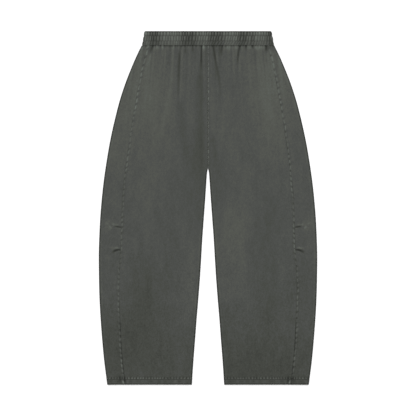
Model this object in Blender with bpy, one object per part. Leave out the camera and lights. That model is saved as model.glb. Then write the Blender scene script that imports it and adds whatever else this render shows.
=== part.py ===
"""Barrel leg trousers laid flat on a table: a gathered waistband and six cloth panels.

The garment lies with +Y towards the waist, +X to the right as seen from above, and +Z up.
Its back rests on z = 0, and the front lies on the back. Each panel is a thin wall, lofted
through sections that run across the garment at a given distance down from the waist edge.
The tables below are in millimetres, and the meshes are made in metres.
"""

import math
from collections import namedtuple

import bmesh
import bpy

MM = 0.001

# Whole garment
LENGTH = 1010.0
SEAM_GAP = 0.3
LAYER_GAP = 0.3
CLOTH = 1.4

# Hem: the cloth is turned up inside, so the wall is thicker there
HEM_WALL = 2.4
HEM_TOP = 988.0
HEM_STEP = 4.0

# Waistband
BAND_DEPTH = 41.2
BAND_TOP_HALF_WIDTH = 181.0
BAND_LOW_HALF_WIDTH = 188.5
BAND_WALL = 3.6
BAND_HOLLOW = 0.6
BAND_GATHERS = 49
POINTS_PER_GATHER = 3
BAND_BACK_POINTS = 14
BAND_TURN_POINTS = 4
GATHER_HEIGHT = 0.9
CHANNEL_PUFF = 0.5

# Panels
PANEL_TOP = 41.5
CROTCH = 389.0
CROTCH_OPENING = 4.0
TURN_STEPS = 2
FRONT_COLUMNS = 22
FRONT_COLUMN_CROWDING = 1.2
SIDE_FRONT_COLUMNS = 7
SIDE_BACK_COLUMNS = 2
SIDE_TURN_STEPS = 4
BACK_COLUMNS = 3

# How far the front layer stands off the back layer, besides the gap between them
REST_LIFT = 0.5
WAIST_LIFT = 2.7
WAIST_LIFT_FADE = 75.0
EDGE_LIFT = 1.3
EDGE_LIFT_REACH = 28.0
MOST_LIFT = 3.6
GATHER_WAVE = 0.45
GATHER_WAVE_PITCH = 16.0
GATHER_WAVE_FADE = 16.0
EDGE_SAMPLE = 2.0

SHARP_ANGLE = math.radians(50.0)

# Half of the garment's width at a distance down from the waist edge
OutlineRow = namedtuple("OutlineRow", "down half_width")
OUTLINE = [
    OutlineRow(down=41.5, half_width=188.8),
    OutlineRow(down=60.0, half_width=198.3),
    OutlineRow(down=83.0, half_width=209.0),
    OutlineRow(down=140.0, half_width=232.0),
    OutlineRow(down=197.0, half_width=251.0),
    OutlineRow(down=255.0, half_width=266.0),
    OutlineRow(down=312.0, half_width=278.5),
    OutlineRow(down=369.0, half_width=288.5),
    OutlineRow(down=426.0, half_width=296.8),
    OutlineRow(down=483.0, half_width=303.0),
    OutlineRow(down=540.0, half_width=307.5),
    OutlineRow(down=625.0, half_width=311.0),
    OutlineRow(down=683.0, half_width=311.0),
    OutlineRow(down=768.0, half_width=309.0),
    OutlineRow(down=854.0, half_width=303.7),
    OutlineRow(down=940.0, half_width=296.0),
    OutlineRow(down=1010.0, half_width=287.0),
]

# Distance of the long curved seam from the middle, the same on front and back
SeamRow = namedtuple("SeamRow", "down from_middle")
LONG_SEAM = [
    SeamRow(down=41.5, from_middle=171.0),
    SeamRow(down=83.0, from_middle=182.5),
    SeamRow(down=140.0, from_middle=194.5),
    SeamRow(down=240.0, from_middle=213.0),
    SeamRow(down=326.0, from_middle=225.5),
    SeamRow(down=369.0, from_middle=232.0),
    SeamRow(down=454.0, from_middle=242.0),
    SeamRow(down=511.0, from_middle=245.5),
    SeamRow(down=583.0, from_middle=247.5),
    SeamRow(down=645.0, from_middle=250.5),
    SeamRow(down=700.0, from_middle=254.0),
    SeamRow(down=755.0, from_middle=254.5),
    SeamRow(down=862.0, from_middle=250.5),
    SeamRow(down=917.0, from_middle=247.0),
    SeamRow(down=968.0, from_middle=242.0),
    SeamRow(down=1010.0, from_middle=237.0),
]

# Half of the space between the legs, from just below the crotch to the hem
InseamRow = namedtuple("InseamRow", "down from_middle")
INSEAM = [
    InseamRow(down=393.0, from_middle=2.0),
    InseamRow(down=426.0, from_middle=5.1),
    InseamRow(down=483.0, from_middle=8.8),
    InseamRow(down=540.0, from_middle=13.0),
    InseamRow(down=597.0, from_middle=17.3),
    InseamRow(down=654.0, from_middle=20.6),
    InseamRow(down=711.0, from_middle=24.3),
    InseamRow(down=768.0, from_middle=28.5),
    InseamRow(down=825.0, from_middle=33.2),
    InseamRow(down=883.0, from_middle=37.4),
    InseamRow(down=940.0, from_middle=41.8),
    InseamRow(down=1010.0, from_middle=46.4),
]

# Rows of points across the waistband's outer face, and how far each bulges between stitch rows
BandRow = namedtuple("BandRow", "down bulge")
BAND_ROWS = [
    BandRow(down=0.0, bulge=0.0),
    BandRow(down=6.5, bulge=1.0),
    BandRow(down=13.0, bulge=0.25),
    BandRow(down=21.0, bulge=1.0),
    BandRow(down=29.0, bulge=0.25),
    BandRow(down=35.0, bulge=1.0),
    BandRow(down=BAND_DEPTH, bulge=0.0),
]

# Distances down at which the panels have a section
SECTIONS = [
    PANEL_TOP, 50.0, 62.0, 80.0, 105.0, 140.0, 185.0, 235.0, 290.0, 345.0, CROTCH,
    CROTCH + CROTCH_OPENING, 430.0, 480.0, 535.0, 590.0, 650.0, 710.0, 770.0, 830.0, 890.0,
    945.0, HEM_TOP, HEM_TOP + HEM_STEP, LENGTH,
]

# More sections on the side panels, where the knee darts are
DART_SECTIONS = [549.0, 555.0, 560.0, 568.0, 614.0, 621.0, 627.0, 634.0, 642.0]

# Folds of the front, as ridges (height above 0) and troughs (below 0). Each runs from its
# start to its end, bowed sideways by bow, and sinks to nothing over the part past hold.
Fold = namedtuple("Fold", "x_start down_start x_end down_end bow width height hold")
FOLDS = [
    Fold(x_start=-79, down_start=40, x_end=-83, down_end=205, bow=1, width=7, height=-1.5, hold=0.2),
    Fold(x_start=-18, down_start=40, x_end=-17, down_end=120, bow=1, width=6, height=-1.9, hold=0.4),
    Fold(x_start=-20, down_start=70, x_end=-27, down_end=430, bow=2, width=20, height=-0.7, hold=0.5),
    Fold(x_start=14, down_start=40, x_end=38, down_end=195, bow=-3, width=7, height=-1.5, hold=0.2),
    Fold(x_start=41, down_start=40, x_end=38, down_end=90, bow=0, width=6, height=-1.2, hold=0.1),
    Fold(x_start=91, down_start=40, x_end=88, down_end=190, bow=-4, width=7, height=-1.4, hold=0.2),
    Fold(x_start=-160, down_start=40, x_end=-166, down_end=75, bow=0, width=6, height=-0.9, hold=0.1),
    Fold(x_start=-64, down_start=40, x_end=-66, down_end=92, bow=0, width=6, height=-0.9, hold=0.1),
    Fold(x_start=-42, down_start=40, x_end=-40, down_end=84, bow=0, width=6, height=-0.9, hold=0.1),
    Fold(x_start=109, down_start=40, x_end=110, down_end=72, bow=0, width=6, height=-0.8, hold=0.1),
    Fold(x_start=130, down_start=40, x_end=133, down_end=70, bow=0, width=6, height=-0.8, hold=0.1),
    Fold(x_start=-144, down_start=40, x_end=-150, down_end=100, bow=0, width=10, height=0.6, hold=0.1),
    Fold(x_start=58, down_start=40, x_end=60, down_end=100, bow=0, width=10, height=0.6, hold=0.1),
    Fold(x_start=149, down_start=40, x_end=154, down_end=105, bow=0, width=10, height=0.6, hold=0.1),
    Fold(x_start=0, down_start=40, x_end=0, down_end=395, bow=0, width=4, height=-0.5, hold=0.8),
    Fold(x_start=14, down_start=335, x_end=40, down_end=440, bow=2, width=7, height=-0.8, hold=0.3),
    Fold(x_start=-60, down_start=500, x_end=-90, down_end=930, bow=8, width=32, height=0.6, hold=0.5),
    Fold(x_start=62, down_start=470, x_end=88, down_end=950, bow=-8, width=30, height=0.6, hold=0.5),
    Fold(x_start=-165, down_start=760, x_end=-160, down_end=1010, bow=0, width=40, height=-0.4, hold=0.9),
    Fold(x_start=168, down_start=740, x_end=162, down_end=1010, bow=0, width=40, height=-0.4, hold=0.9),
]

# Two darts at each knee, as a trough with a ridge above it, mirrored to both legs
DARTS = [
    Fold(x_start=243, down_start=562, x_end=276, down_end=557, bow=0, width=5, height=-1.1, hold=0.4),
    Fold(x_start=250, down_start=552, x_end=286, down_end=551, bow=0, width=5, height=0.7, hold=0.4),
    Fold(x_start=245, down_start=626, x_end=282, down_end=637, bow=3, width=5, height=-1.3, hold=0.4),
    Fold(x_start=250, down_start=617, x_end=292, down_end=622, bow=3, width=5, height=0.8, hold=0.4),
    Fold(x_start=262, down_start=545, x_end=308, down_end=520, bow=0, width=9, height=0.5, hold=0.2),
    Fold(x_start=266, down_start=590, x_end=308, down_end=588, bow=0, width=10, height=0.5, hold=0.2),
    Fold(x_start=262, down_start=642, x_end=306, down_end=668, bow=0, width=10, height=0.5, hold=0.2),
]

# Base colour of the washed black cotton, and its roughness
CLOTH_COLOUR = (0.080, 0.084, 0.076, 1.0)
BAND_COLOUR = (0.076, 0.080, 0.072, 1.0)
CLOTH_ROUGHNESS = 0.95


def clear_scene():
    """Remove every object that the file opens with."""
    for thing in list(bpy.data.objects):
        bpy.data.objects.remove(thing, do_unlink=True)


def smooth_curve(rows):
    """Return a function of the distance down that passes smoothly through the rows.

    Between two rows the curve is a cubic whose slope at each row is that of the line
    through the rows before and after it.
    """
    downs = [row[0] for row in rows]
    values = [row[1] for row in rows]
    last = len(rows) - 1
    slopes = []
    for index in range(last + 1):
        before = max(index - 1, 0)
        after = min(index + 1, last)
        slopes.append((values[after] - values[before]) / (downs[after] - downs[before]))

    def value_at(down):
        """Read the curve, which stays level outside its rows."""
        down = min(max(down, downs[0]), downs[last])
        piece = 0
        while piece < last - 1 and down > downs[piece + 1]:
            piece += 1
        span = downs[piece + 1] - downs[piece]
        t = (down - downs[piece]) / span
        start = values[piece] * (1 + 2 * t) * (1 - t) ** 2
        start_slope = slopes[piece] * span * t * (1 - t) ** 2
        end = values[piece + 1] * t * t * (3 - 2 * t)
        end_slope = slopes[piece + 1] * span * t * t * (t - 1)
        return start + start_slope + end + end_slope

    return value_at


outline_at = smooth_curve(OUTLINE)
long_seam_at = smooth_curve(LONG_SEAM)
inseam_at = smooth_curve(INSEAM)


def ease(t):
    """Rise smoothly from 0 to 1 as t goes from 0 to 1."""
    t = min(max(t, 0.0), 1.0)
    return t * t * (3 - 2 * t)


def wall_at(down):
    """Thickness of the cloth wall, doubled up in the hem."""
    return CLOTH + (HEM_WALL - CLOTH) * ease((down - HEM_TOP) / HEM_STEP)


def edge_turn_at(down):
    """How far a panel's inner edge turns towards the other layer: 0 at the rise, 1 on a leg."""
    return 1.0 if down > CROTCH else 0.0


def inner_edge_at(down):
    """Distance of a panel's inner edge from the middle."""
    if down <= CROTCH:
        return SEAM_GAP / 2
    return inseam_at(down)


def fold_lift(fold, x, down):
    """Height of one fold at a point: a bell across its bowed line, fading along it."""
    run_x = fold.x_end - fold.x_start
    run_down = fold.down_end - fold.down_start
    length = math.hypot(run_x, run_down)
    along = ((x - fold.x_start) * run_x + (down - fold.down_start) * run_down) / length ** 2
    if along < 0.0 or along > 1.0:
        return 0.0
    across = ((x - fold.x_start) * run_down - (down - fold.down_start) * run_x) / length
    across -= fold.bow * 4 * along * (1 - along)
    starts_at_band = fold.down_start < PANEL_TOP
    rise = 1.0 if starts_at_band else ease(along / 0.15)
    fall = 1.0 - ease((along - fold.hold) / (1.0 - fold.hold))
    return fold.height * rise * fall * math.exp(-(across / fold.width) ** 2)


def lift_at(x, down):
    """Height of the front layer above its lowest level at a point of the garment."""
    below_band = down - PANEL_TOP
    lift = REST_LIFT + WAIST_LIFT * math.exp(-below_band / WAIST_LIFT_FADE)
    from_outline = max(outline_at(down) - abs(x), 0.0)
    lift += EDGE_LIFT * math.exp(-from_outline / EDGE_LIFT_REACH)
    wave_turns = x / GATHER_WAVE_PITCH + 0.3 * math.sin(x / 23.0)
    wave = math.cos(2 * math.pi * wave_turns)
    lift += GATHER_WAVE * wave * math.exp(-below_band / GATHER_WAVE_FADE)
    for fold in FOLDS:
        lift += fold_lift(fold, x, down)
    for dart in DARTS:
        lift += fold_lift(dart, abs(x), down)
    return min(max(lift, 0.0), MOST_LIFT)


def front_low_at(x, down):
    """Height of the front layer's inner face."""
    return wall_at(down) + LAYER_GAP + lift_at(x, down)


def point(side, x, down, z):
    """A point in metres, side being +1 for the right and -1 for the left."""
    return (side * x * MM, (LENGTH / 2 - down) * MM, z * MM)


def spread(start, end, steps, crowding=1.0):
    """Places from start to end, closer together at the start where crowding is over 1."""
    return [start + (end - start) * (step / steps) ** crowding for step in range(steps + 1)]


def turned_edge(side, inner, down, face_z, wall, centre_z, turn):
    """Points of a panel's inner edge, which turns in a quarter round towards centre_z.

    face_z is the outer face's height. It returns the outer and inner points, from the tip.
    """
    radius = abs(face_z - centre_z)
    up = math.copysign(1.0, face_z - centre_z)
    inner_radius = radius - wall
    outer_points = []
    inner_points = []
    for step in range(TURN_STEPS):
        angle = 0.5 * math.pi * step / TURN_STEPS
        flat_x = inner + radius * (1 - math.cos(angle))
        outer_z = face_z - up * turn * radius * (1 - math.sin(angle))
        round_x = inner + radius - inner_radius * math.cos(angle)
        inner_x = (1 - turn) * flat_x + turn * round_x
        inner_z = face_z - up * (wall + turn * inner_radius * (1 - math.sin(angle)))
        outer_points.append(point(side, flat_x, down, outer_z))
        inner_points.append(point(side, inner_x, down, inner_z))
    return outer_points, inner_points, inner + radius


def edge_levels(side, down):
    """Height of the front layer's outer face at the inner edge, and half of it."""
    inner = inner_edge_at(down)
    top = front_low_at(side * (inner + EDGE_SAMPLE), down) + wall_at(down)
    return top, top / 2


def front_section(side, down):
    """Section of a front panel, from the middle or inseam to the long seam and back."""
    wall = wall_at(down)
    top, half = edge_levels(side, down)
    centre_z = half + SEAM_GAP / 2
    outer, inner, start = turned_edge(
        side, inner_edge_at(down), down, top, wall, centre_z, edge_turn_at(down))
    end = long_seam_at(down) - SEAM_GAP / 2
    for x in spread(start, end, FRONT_COLUMNS, FRONT_COLUMN_CROWDING):
        low = front_low_at(side * max(x, inner_edge_at(down) + EDGE_SAMPLE), down)
        outer.append(point(side, x, down, low + wall))
        inner.append(point(side, x, down, low))
    return outer + inner[::-1]


def back_section(side, down):
    """Section of a back panel, which lies flat and turns up at the inseam."""
    wall = wall_at(down)
    half = edge_levels(side, down)[1]
    centre_z = half - SEAM_GAP / 2
    outer, inner, start = turned_edge(
        side, inner_edge_at(down), down, 0.0, wall, centre_z, edge_turn_at(down))
    end = long_seam_at(down) - SEAM_GAP / 2
    for x in spread(start, end, BACK_COLUMNS):
        outer.append(point(side, x, down, 0.0))
        inner.append(point(side, x, down, wall))
    return outer + inner[::-1]


def side_section(side, down):
    """Section of a side panel, from the front seam round the outer edge to the back seam."""
    wall = wall_at(down)
    edge = outline_at(down)
    seam = long_seam_at(down) + SEAM_GAP / 2
    radius = (front_low_at(side * (edge - EDGE_SAMPLE), down) + wall) / 2
    centre_x = edge - radius
    outer = []
    inner = []
    for x in spread(seam, centre_x, SIDE_FRONT_COLUMNS)[:-1]:
        low = front_low_at(side * x, down)
        outer.append(point(side, x, down, low + wall))
        inner.append(point(side, x, down, low))
    for step in range(SIDE_TURN_STEPS + 1):
        angle = math.pi * (0.5 - step / SIDE_TURN_STEPS)
        reach = math.cos(angle)
        rise = math.sin(angle)
        outer.append(point(side, centre_x + radius * reach, down, radius + radius * rise))
        inner_radius = radius - wall
        inner.append(point(side, centre_x + inner_radius * reach, down, radius + inner_radius * rise))
    for x in spread(centre_x, seam, SIDE_BACK_COLUMNS)[1:]:
        outer.append(point(side, x, down, 0.0))
        inner.append(point(side, x, down, wall))
    return outer + inner[::-1]


def gather_at(x, down):
    """Height of the waistband's gathers, from 0 in a valley to 1 on a crest, unevenly spaced."""
    lean = 0.04 * down * math.sin(x / 41.0)
    turns = (x + lean) * BAND_GATHERS / (2 * BAND_LOW_HALF_WIDTH)
    turns += 0.16 * math.sin(x / 13.0) + 0.12 * math.sin(x / 7.3 + 1.0)
    crest = 0.5 + 0.5 * math.cos(2 * math.pi * turns)
    depth = 0.72 + 0.28 * math.sin(x / 27.0 + 0.8)
    return crest * depth


def band_half_width_at(down):
    """Half of the waistband's width, which widens a little downwards."""
    widening = BAND_LOW_HALF_WIDTH - BAND_TOP_HALF_WIDTH
    return BAND_TOP_HALF_WIDTH + widening * down / BAND_DEPTH


def band_station(share_x, turn_angle, is_front):
    """One section through the waistband's wall, at a place round its flattened loop.

    share_x runs from -1 to 1 along the straight runs. At the two ends turn_angle goes
    round the fold, and it is None elsewhere.
    """
    height = 2 * BAND_WALL + BAND_HOLLOW
    radius = height / 2
    inner_radius = radius - BAND_WALL
    outer = []
    inner = []
    for row in BAND_ROWS:
        straight = band_half_width_at(row.down) - radius
        x = share_x * straight
        if turn_angle is not None:
            end = math.copysign(1.0, share_x)
            swell = radius + CHANNEL_PUFF * (row.bulge - 1.0)
            reach = math.cos(turn_angle)
            rise = math.sin(turn_angle)
            outer.append(point(1, end * (straight + swell * reach), row.down, radius + radius * rise))
            inner.append(point(1, end * (straight + inner_radius * reach), row.down,
                               radius + inner_radius * rise))
        elif is_front:
            relief = row.bulge * (CHANNEL_PUFF + GATHER_HEIGHT * gather_at(x, row.down))
            outer.append(point(1, x, row.down, height + relief))
            inner.append(point(1, x, row.down, height - BAND_WALL))
        else:
            outer.append(point(1, x, row.down, 0.0))
            inner.append(point(1, x, row.down, BAND_WALL))
    return outer + [inner[-1], inner[0]]


def band_stations():
    """Sections right round the waistband: front, right fold, back and left fold."""
    stations = []
    front_points = BAND_GATHERS * POINTS_PER_GATHER
    for share in spread(-1.0, 1.0, front_points):
        stations.append(band_station(share, None, True))
    for step in range(1, BAND_TURN_POINTS):
        angle = math.pi * (0.5 - step / BAND_TURN_POINTS)
        stations.append(band_station(1.0, angle, True))
    for share in spread(1.0, -1.0, BAND_BACK_POINTS):
        stations.append(band_station(share, None, False))
    for step in range(1, BAND_TURN_POINTS):
        angle = math.pi * (step / BAND_TURN_POINTS - 0.5)
        stations.append(band_station(-1.0, angle, True))
    return stations


def cloth_material(name, colour):
    """Matt washed cotton."""
    material = bpy.data.materials.new(name)
    material.use_nodes = True
    shader = material.node_tree.nodes["Principled BSDF"]
    shader.inputs["Base Color"].default_value = colour
    shader.inputs["Roughness"].default_value = CLOTH_ROUGHNESS
    shader.inputs["Metallic"].default_value = 0.0
    return material


def loft(name, sections, is_loop, material):
    """Join like sections into one closed solid, with its ends filled unless it is a loop."""
    mesh_data = bmesh.new()
    rings = [[mesh_data.verts.new(place) for place in section] for section in sections]
    size = len(rings[0])
    pairs = list(zip(rings, rings[1:]))
    if is_loop:
        pairs.append((rings[-1], rings[0]))
    for ring, next_ring in pairs:
        for index in range(size):
            after = (index + 1) % size
            mesh_data.faces.new((ring[index], ring[after], next_ring[after], next_ring[index]))
    if not is_loop:
        for ring in (rings[0], rings[-1]):
            for index in range(size // 2 - 1):
                mesh_data.faces.new((ring[index], ring[index + 1],
                                     ring[size - 2 - index], ring[size - 1 - index]))
    bmesh.ops.recalc_face_normals(mesh_data, faces=mesh_data.faces)
    bmesh.ops.triangulate(mesh_data, faces=mesh_data.faces)
    mesh = bpy.data.meshes.new(name)
    mesh_data.to_mesh(mesh)
    mesh_data.free()
    mesh.shade_smooth()
    mesh.set_sharp_from_angle(angle=SHARP_ANGLE)
    mesh.materials.append(material)
    piece = bpy.data.objects.new(name, mesh)
    bpy.context.scene.collection.objects.link(piece)
    return piece


def make_panels(material):
    """Make the front, side and back panel of each leg."""
    side_sections = sorted(SECTIONS + DART_SECTIONS)
    for side, side_name in ((-1, "left"), (1, "right")):
        front = [front_section(side, down) for down in SECTIONS]
        loft("front_" + side_name, front, False, material)
        wrap = [side_section(side, down) for down in side_sections]
        loft("side_" + side_name, wrap, False, material)
        back = [back_section(side, down) for down in SECTIONS]
        loft("back_" + side_name, back, False, material)


def main():
    """Build the trousers."""
    clear_scene()
    panel_cloth = cloth_material("washed_cotton", CLOTH_COLOUR)
    band_cloth = cloth_material("gathered_cotton", BAND_COLOUR)
    make_panels(panel_cloth)
    loft("waistband", band_stations(), True, band_cloth)


main()
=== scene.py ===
"""Barrel leg trousers laid flat: gathered waistband, panels, seams, folds, hems and stitches.

The garment lies on the floor with +Y towards the waist and +X to the right as seen from above.
Tables and shapes are in millimetres, measured down from the waist edge, and the meshes are
made in metres.
"""

from collections import namedtuple

import bpy
import numpy as np
from bpy.props import FloatProperty, FloatVectorProperty, PointerProperty
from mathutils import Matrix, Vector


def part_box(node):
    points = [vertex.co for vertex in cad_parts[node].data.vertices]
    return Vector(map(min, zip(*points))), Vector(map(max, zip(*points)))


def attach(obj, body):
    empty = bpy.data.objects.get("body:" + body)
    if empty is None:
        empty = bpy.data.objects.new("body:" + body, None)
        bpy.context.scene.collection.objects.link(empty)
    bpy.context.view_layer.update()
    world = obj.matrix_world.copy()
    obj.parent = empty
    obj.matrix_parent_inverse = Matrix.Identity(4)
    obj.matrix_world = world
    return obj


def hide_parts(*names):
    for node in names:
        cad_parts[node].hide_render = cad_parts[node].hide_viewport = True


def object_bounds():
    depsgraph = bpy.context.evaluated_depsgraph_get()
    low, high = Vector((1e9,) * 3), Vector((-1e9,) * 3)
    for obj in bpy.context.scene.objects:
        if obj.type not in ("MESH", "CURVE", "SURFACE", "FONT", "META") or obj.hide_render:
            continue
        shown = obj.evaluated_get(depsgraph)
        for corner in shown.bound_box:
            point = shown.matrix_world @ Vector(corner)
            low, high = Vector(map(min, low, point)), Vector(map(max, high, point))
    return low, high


bl_info = {
    "name": "Barrel Leg Trousers",
    "version": (1, 0, 0),
    "blender": (4, 5, 0),
    "location": "3D View > Sidebar > Trousers",
    "description": "Makes barrel leg trousers laid flat, with their gathers, seams and stitches",
    "category": "Add Mesh",
}

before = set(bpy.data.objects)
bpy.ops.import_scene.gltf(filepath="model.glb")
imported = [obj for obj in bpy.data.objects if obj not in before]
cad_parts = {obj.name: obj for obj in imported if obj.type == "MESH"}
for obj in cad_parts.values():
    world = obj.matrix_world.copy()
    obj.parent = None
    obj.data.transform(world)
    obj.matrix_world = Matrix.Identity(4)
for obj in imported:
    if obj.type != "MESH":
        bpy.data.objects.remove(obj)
CAD_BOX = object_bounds()

MM = 0.001
SIDES = ((-1, "left"), (1, "right"))

# Whole garment and waistband, whose length and depth come from the frame
LENGTH = (CAD_BOX[1][1] - CAD_BOX[0][1]) / MM
BAND_LOW, BAND_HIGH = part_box("waistband")
BAND_DEPTH = (BAND_HIGH[1] - BAND_LOW[1]) / MM
BAND_LOW_HALF_WIDTH = 188.5
BAND_TOP_HALF_WIDTH = 181.0
BAND_WALL = 3.6
BAND_HOLLOW = 0.6
BAND_GATHERS = 49
BAND_SECTIONS = 430
BAND_FOLD_SECTIONS = 10
BAND_ROUND_TOP = 1.5
BAND_ROUND_LOW = 0.7
BRIGHTEST = 1.1
STITCH_ROWS = (14.0, 29.0)

# Panels: where they start and part, their walls, and how finely their shells are divided
PANEL_TOP = 41.3
CROTCH = 391.0
CROTCH_OPENING = 5.0
SEAM_GAP = 0.06
LAYER_GAP = 0.3
HEM_WALL = 2.4
HEM_TOP = 988.0
HEM_STEP = 4.0
HEM_ROUND = 1.1
KNEE_TOP = 545.0
KNEE_LOW = 648.0
KNEE_STEP = 1.6
WAIST_STRETCH = 30.0
TURN_SECTIONS = 11
FINE_REACH = 8.0

# Every fold: the share of its length over which it rises, its width from start to end as shares
# of its own, and the place, width and tone of its lip
FOLD_RISE = 0.15
FOLD_NARROW = 0.85
FOLD_WIDENS = 0.9
LIP_PLACE = 2.0
LIP_WIDTH = 1.3
# The lip's lighter tone is partly wear and partly painted light on the fold's lit side
LIP_TONE = 0.5

# How far the front layer lifts off the back
REST_LIFT = 0.5
WAIST_LIFT = 2.7
WAIST_LIFT_FADE = 75.0
EDGE_LIFT = 1.3
EDGE_LIFT_REACH = 28.0

# The puckered seams. The long seam's worn edge lies on its outer side above and below the
# stretch between high and low on the right, and only below it on the left.
PUCKER_PITCH_FRONT = 16.0
PUCKER_PITCH_BACK = 19.0
CENTRE_PITCH = 15.5
HEM_PITCH = 8.6
WORN_SIDE_HIGH = 385.0
WORN_SIDE_LOW = 655.0
WORN_SIDE_CHANGE = 20.0
NEAR_WAIST_FADE = 110.0
NEAR_HEM_TOP = 780.0
NEAR_HEM_CHANGE = 80.0

# Stitches: how far their rows lie from the seams and the hem's edge, how deep they press the
# back, and the length and sides of one
SEAM_STITCHES = 1.8
CENTRE_STITCHES = 2.6
HEM_STITCHES = 15.0
STITCH_GROOVE = 0.5
STITCH_SHARE = 0.78
STITCH_SIDES = 6
AIM_STEP = 0.4

# The back's greatest relief, and the tone inside the garment and at its deepest
BACK_RELIEF = 0.9
INSIDE_TONE = -0.2
DEEPEST_TONE = 2.5

# Floor, lights and camera, in metres and degrees, and the picture that the camera matches
FLOOR_HALF_SIZE = 6.0
FLOOR_DROP = 0.0002
KEY_SPREAD = 50.0
KEY_TURN = (-30.0, -6.0, 0.0)
LENS = 85.0
SENSOR = 36.0
PICTURE_PIXELS = 416
METRES_PER_PIXEL = 0.0028605
PIXELS_ABOVE_MIDDLE = -0.07

WHITE = (1.0, 1.0, 1.0, 1.0)
NUMBER = "NodeSocketFloat"
COLOUR = "NodeSocketColor"


def table(columns, *rows):
    """Records with named columns, one for each row of numbers."""
    record = namedtuple("Row", columns)
    return [record(*row) for row in rows]


# Half of the garment's width at a distance down from the waist edge
OUTLINE = table(
    "down half_width",
    (41.5, 189.4), (60.0, 198.9), (83.0, 209.6), (140.0, 232.9), (197.0, 251.9), (255.0, 266.9),
    (312.0, 279.4), (369.0, 289.4), (426.0, 297.7), (483.0, 303.9), (540.0, 308.4),
    (625.0, 311.9), (683.0, 311.9), (768.0, 309.9), (854.0, 304.6), (940.0, 296.9),
    (1010.0, 287.9)
)

# Distance of the long curved seam from the middle, the same on front and back
LONG_SEAM = table(
    "down from_middle",
    (41.5, 171.0), (83.0, 182.5), (140.0, 194.5), (240.0, 213.0), (326.0, 225.5),
    (369.0, 232.0), (454.0, 242.0), (511.0, 245.5), (583.0, 247.5), (645.0, 250.5),
    (700.0, 254.0), (755.0, 254.5), (862.0, 250.5), (917.0, 247.0), (968.0, 242.0),
    (1010.0, 237.0)
)

# Half of the space between the legs, from just below the crotch to the hem
INSEAM = table(
    "down from_middle",
    (391.0, 0.1), (396.0, 1.3), (402.0, 2.6), (413.0, 3.6), (427.0, 4.6), (483.0, 8.3),
    (540.0, 12.5), (597.0, 16.6), (654.0, 19.9), (711.0, 23.6), (768.0, 28.0), (825.0, 32.8),
    (883.0, 37.1), (940.0, 41.6), (1010.0, 46.2)
)
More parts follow.
